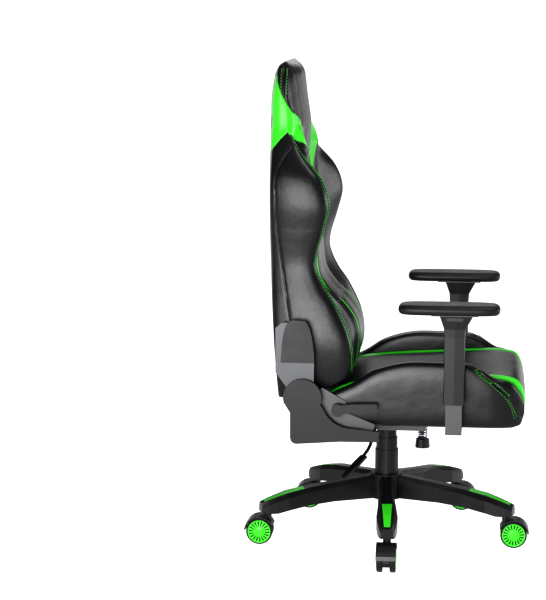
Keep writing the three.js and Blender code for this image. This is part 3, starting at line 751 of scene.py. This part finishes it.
def seat_drop(x):
    """How far the cover lies under its fullest line at a distance from the middle."""
    x = abs(x)
    if x < STRIPE[0]:
        return 4.5 * (x / STRIPE[0]) ** 4
    share = (x - STRIPE[0]) / (STRIPE[1] - STRIPE[0])
    rise = 3.6 * math.sin(min(share * 1.25, 1) * math.pi / 2)
    return 4.5 - rise + 11 * max(share - 0.45, 0) ** 1.6


def seat_ring(x, drop):
    return [
        place(x, f + nf * drop, max(z + nz * drop, seat_low + 0.6))
        for (f, z), (nf, nz) in zip(seat_line, seat_in)
    ]


HALF_RINGS = 44
seat_xs = [-mid_half + i * mid_half / HALF_RINGS for i in range(2 * HALF_RINGS + 1)]
seat_rings = [seat_ring(x, seat_drop(x)) for x in seat_xs]
seat_rings = [seat_ring(-mid_half, 9)] + seat_rings + [seat_ring(mid_half, 9)]
seat_bm = lofted(seat_rings)


def seat_green(x, f, z):
    if z < seat_low + 8:
        return -5
    return abs(x) - STRIPE[0]


def seat_seam(x, f, z):
    return abs(abs(x) - STRIPE[0])


seat_fields = upholstered(seat_bm, seat_green, seat_seam, 2.0, 3.0)
seat_piece = piece(
    seat_bm,
    "seat_middle_upholstery",
    "seat",
    LEATHER,
    ("seat_cushion",),
    seat_fields,
)

thread = bmesh.new()
BOLSTER_POINTS = 96
bolster_seam = through((250, 545), (262, 524), (300, 494), (340, 456), (368, 414), (382, 384))
for name, side in SIDES.items():
    (bx0, bx1), (b_rear, b_front), (b_low, b_top) = span("seat_bolster_" + name)
    inner, outer = sorted((abs(bx0), abs(bx1)))
    crest = through(
        (b_rear, 430), (-150, 453), (-78, 488), (-20, 524), (60, b_top - 2), (150, b_top),
        (225, b_top - 2),
        (262, 531), (300, 507), (330, 500), (352, 488), (370, 462), (b_front, 432),
    )
    reach = through(
        (b_rear, outer), (280, outer), (320, outer - 5), (350, outer - 16), (370, outer - 30),
        (b_front, inner + 10),
    )
    foot = through(
        (b_rear, b_low + 0.5), (340, b_low + 0.5), (360, b_low + 3), (374, b_low + 12),
        (b_front, b_low + 40),
    )

    def bolster_ring(f):
        out, top, low = reach(f), crest(f), foot(f)
        ring = []
        for i in range(BOLSTER_POINTS):
            # A box with round edges, fuller at its outer side than at its inner one.
            a = (i + 0.5) / BOLSTER_POINTS * math.tau
            c, v = math.cos(a), math.sin(a)
            power = 0.5 if c > 0 else 0.28
            across = math.copysign(abs(c) ** power, c)
            up = math.copysign(abs(v) ** (0.62 if c > 0 and v > 0 else 0.35), v)
            x = mix(inner + 0.5, out, (across + 1) / 2)
            slope = 5 * max(0, -across) * max(0, up)
            ring.append(place(side * x, f, mix(low, top, (up + 1) / 2) - slope))
        return ring

    stations = [b_rear + 2 + 5 * i for i in range(int((b_front - b_rear - 24) / 5))]
    stations += [b_front - 22 + 21 * math.sin(i / 7 * math.pi / 2) for i in range(1, 8)]
    b_rings = [bolster_ring(f) for f in stations]
    b_rings = [shrunk(b_rings[0], 0.9, Vector((0, 0.0015, 0)))] + b_rings
    b_rings += [
        shrunk(b_rings[-1], share, Vector((0, -beyond / 1000, 0)))
        for share, beyond in ((0.8, 0.8), (0.4, 1))
    ]
    bolster_bm = lofted(b_rings)

    def bolster_line(x, f, z):
        if f > 248 and abs(x) > inner + 8:
            return abs(z - bolster_seam(f)) * 0.7
        return FAR

    bolster_fields = upholstered(bolster_bm, lambda x, f, z: -5, bolster_line, 2.2, 3.2)
    surface = BVHTree.FromBMesh(bolster_bm)
    bolster = piece(
        bolster_bm,
        "seat_bolster_upholstery_" + name,
        "seat",
        LEATHER,
        ("seat_bolster_" + name,),
        bolster_fields,
    )
    for offset in (-4.5, 4.5):
        path = []
        for f in range(254, 378):
            rise = bolster_seam(f + 1) - bolster_seam(f)
            across = offset / math.hypot(rise, 1)
            path.append((side * (outer + 4), f - rise * across, bolster_seam(f) + across))
        stitch_row(thread, surface, path)
piece(thread, "seat_stitching", "seat", THREAD, smooth=False)

# ---------------------------------------------------------------- castor wheels
WHEEL_R, DISC_R = 37, 32.1
SLOTS_FROM, SLOTS_TO = 16, 29  # radii between which the disc is slotted
WHEEL_INNER, WHEEL_OUTER = 10, 26  # a wheel's faces, from the middle of the pair
SPIN_STEPS = 72


def castor_wheel(centre, axle, name, body, stands_for):
    """One pair of wheels on its axle: tread, coloured disc with radial slots, and a hub cap."""
    profile = [
        (4, 0), (4, WHEEL_INNER), (35, WHEEL_INNER), (36.6, WHEEL_INNER + 1),
        (WHEEL_R, WHEEL_INNER + 3), (WHEEL_R, WHEEL_OUTER - 4), (36, WHEEL_OUTER - 1.4),
        (33.4, WHEEL_OUTER - 0.2), (32.2, WHEEL_OUTER - 0.2), (31.8, WHEEL_OUTER - 1.6),
        (SLOTS_TO, WHEEL_OUTER - 1.2), (SLOTS_FROM, WHEEL_OUTER - 0.4), (14.2, WHEEL_OUTER - 0.3),
        (14, WHEEL_OUTER + 0.5), (12.5, WHEEL_OUTER + 1.2), (6, WHEEL_OUTER + 1.5),
        (0, WHEEL_OUTER + 1.5),
    ]
    bm = bmesh.new()
    for side in (1, -1):
        verts = [bm.verts.new((r / 1000, side * y / 1000, 0)) for r, y in profile]
        edges = [bm.edges.new(pair) for pair in zip(verts, verts[1:])]
        bmesh.ops.spin(
            bm,
            geom=verts + edges,
            cent=(0, 0, 0),
            axis=(0, 1, 0),
            angle=math.tau,
            steps=SPIN_STEPS,
            use_merge=True,
            use_duplicate=False,
        )
    bmesh.ops.remove_doubles(bm, verts=bm.verts, dist=1e-6)
    bmesh.ops.recalc_face_normals(bm, faces=bm.faces)
    slots = []
    for face in bm.faces:
        mid = face.calc_center_median()
        r, y = math.hypot(mid.x, mid.z) * 1000, abs(mid.y) * 1000
        if y > WHEEL_INNER + 12 and r < DISC_R:
            face.material_index = 1
        if y > WHEEL_INNER + 12 and SLOTS_FROM < r < SLOTS_TO:
            step = math.floor((math.atan2(mid.z, mid.x) / math.tau + 1) * SPIN_STEPS) % 4
            if step in (0, 1):
                slots.append(face)
    bmesh.ops.inset_region(bm, faces=slots, thickness=0.0005, depth=-0.0016)
    # The slots are painted near black: painted shade for their depth.
    for face in slots:
        face.material_index = 2
    turn = Matrix.Rotation(math.atan2(axle.x, -axle.y) + math.pi, 4, "Z")
    bmesh.ops.transform(bm, matrix=Matrix.Translation(centre) @ turn, verts=bm.verts)
    return piece(bm, name, body, [TYRE, GREEN_ABS, SLOT_PAINTED_SHADE], stands_for)


for joint in frame["joints"]:
    if joint["name"].startswith("castor_roll_"):
        number = joint["name"][-1]
        castor_wheel(
            Vector(joint["pos_m"]),
            Vector(joint["axis"]),
            "castor_wheel_pair_" + number,
            "castor_wheels_" + number,
            ("castor_wheels_" + number,),
        )

# ---------------------------------------------------------------- armrest pads
PAD_POINTS = 120
PAD_POWER = 0.42  # how square the pad's corners are: 0 is square, 1 is an ellipse

for name, side in SIDES.items():
    (x0, x1), (f0, f1), (z0, z1) = span("armrest_pad_" + name)
    mid_x, half_x = (x0 + x1) / 2, (x1 - x0) / 2
    mid_f, half_f = (f0 + f1) / 2, (f1 - f0) / 2
    thick = z1 - z0

    def pad_ring(up, inset_by):
        ring = []
        for i in range(PAD_POINTS):
            a = i / PAD_POINTS * math.tau
            c, s = math.cos(a), math.sin(a)
            x = math.copysign(abs(c) ** PAD_POWER, c) * (half_x - inset_by)
            f = math.copysign(abs(s) ** PAD_POWER, s) * (half_f - inset_by)
            ring.append(place(mid_x + x * (1 - 0.05 * (f / half_f) ** 2), mid_f + f, z0 + up))
        return ring

    levels = [
        (0, 30), (0, 9), (0.8, 6.5), (4, 2.5), (9, 0.5), (13, 0), (17, 0.8),
        (thick - 6.5, 3.2), (thick - 3.4, 6.5), (thick - 1.4, 11), (thick - 0.4, 16),
        (thick, 22), (thick, 34),
    ]
    bm = lofted([pad_ring(*level) for level in levels])
    node = "armrest_pad_" + name
    pad = piece(bm, "armrest_pad_skin_" + name, node, PAD_SKIN, (node,))

# ---------------------------------------------------------------- finishes of the CAD pieces
FINISH = {
    "star_base": NYLON,
    "castor_fork": NYLON,
    "leg_insert": GREEN_ABS,
    "lift_cover": COVER_PLASTIC,
    "gas_cylinder": COATED_STEEL,
    "gas_piston": CHROMED,
    "mechanism_housing": COATED_STEEL,
    "seat_plate": COATED_STEEL,
    "tilt_pin": ZINC_STEEL,
    "tension_spring": ZINC_STEEL,
    "tension_knob": NYLON,
    "height_lever": NYLON,
    "seat_board": PLYWOOD,
    "hinge_bracket": COATED_STEEL,
    "recliner_drum": COATED_STEEL,
    "side_cover": COVER_PLASTIC,
    "recline_lever": NYLON,
    "sync_rod": COATED_STEEL,
    "back_frame": COATED_STEEL,
    "hinge_arm_cover": COVER_PLASTIC,
    "hinge_arm": ARM_STEEL_PAINTED_LIT,
    "armrest_bracket": COATED_STEEL,
    "armrest_sleeve": COVER_PLASTIC,
    "armrest_button": NYLON,
    "armrest_plate": COATED_STEEL,
}
for node_name, made in frame["nodes"].items():
    fits = [key for key in FINISH if node_name.startswith(key)]
    if fits:
        made.data.materials.clear()
        made.data.materials.append(FINISH[max(fits, key=len)])

# ---------------------------------------------------------------- studio
FLOOR_SIZE, FLOOR_CELLS = 150, 40
FLAT_RADIUS, BOWL_SLOPE = 30, 0.12  # beyond the flat part the floor rises like a bowl
floor_bm = bmesh.new()
bmesh.ops.create_grid(
    floor_bm, x_segments=FLOOR_CELLS, y_segments=FLOOR_CELLS, size=FLOOR_SIZE
)
for v in floor_bm.verts:
    v.co.z = max(0, math.hypot(v.co.x, v.co.y) - FLAT_RADIUS) * BOWL_SLOPE
floor_mesh = bpy.data.meshes.new("studio_floor")
floor_bm.to_mesh(floor_mesh)
floor_bm.free()
floor = bpy.data.objects.new("studio_floor", floor_mesh)
bpy.context.scene.collection.objects.link(floor)
paper, tree = blank("seamless_paper_white")
output(
    tree,
    add(
        tree,
        "ShaderNodeBsdfPrincipled",
        values={
            "Base Color": colour("#7C7C7C"),
            "Roughness": 0.9,
            "Emission Color": (1, 1, 1, 1),
            "Emission Strength": 0.92,
        },
    ),
)
floor.data.materials.append(paper)

world = bpy.data.worlds.new("studio")
bpy.context.scene.world = world
world.use_nodes = True
world.node_tree.nodes.clear()
background = add(
    world.node_tree, "ShaderNodeBackground", values={"Color": (1, 1, 1, 1), "Strength": 0.16}
)
add(world.node_tree, "ShaderNodeOutputWorld", links={"Surface": background.outputs["Background"]})


def softbox(name, at, aim, size, power):
    light = bpy.data.lights.new(name, "AREA")
    light.shape = "RECTANGLE"
    light.size, light.size_y = size
    light.energy = power
    lamp = bpy.data.objects.new(name, light)
    lamp.location = at
    lamp.rotation_euler = (Vector(aim) - Vector(at)).to_track_quat("-Z", "Y").to_euler()
    bpy.context.scene.collection.objects.link(lamp)


softbox("side_softbox", (-6.4, 1.2, 1.9), (0, 0.1, 0.8), (3.4, 3.2), 480)
softbox("front_softbox", (0.9, -4.2, 1.3), (0, 0, 0.8), (2.6, 2.0), 110)
softbox("rim_softbox", (4.6, 0.3, 3.3), (0, 0, 0.6), (3.0, 2.4), 42)
softbox("low_softbox", (-2.6, 0.5, 0.42), (0, 0.3, 0.9), (1.3, 0.4), 30)
softbox("top_softbox", (-0.6, -0.8, 3.4), (0, 0, 0.5), (1.4, 1.4), 45)

CAMERA_AT = (-5.372, -0.281, 1.554)
CAMERA_TOWARDS = (0.9807, 0.1114, -0.1605)
SENSOR_MM, LENS_MM = 36, 116.93
camera_data = bpy.data.cameras.new("camera")
camera_data.sensor_width = SENSOR_MM
camera_data.lens = LENS_MM
camera = bpy.data.objects.new("camera", camera_data)
camera.location = CAMERA_AT
camera.rotation_euler = Vector(CAMERA_TOWARDS).to_track_quat("-Z", "Y").to_euler()
bpy.context.scene.collection.objects.link(camera)
bpy.context.scene.camera = camera
bpy.context.scene.view_settings.view_transform = "Standard"
bpy.context.scene.view_settings.look = "High Contrast"
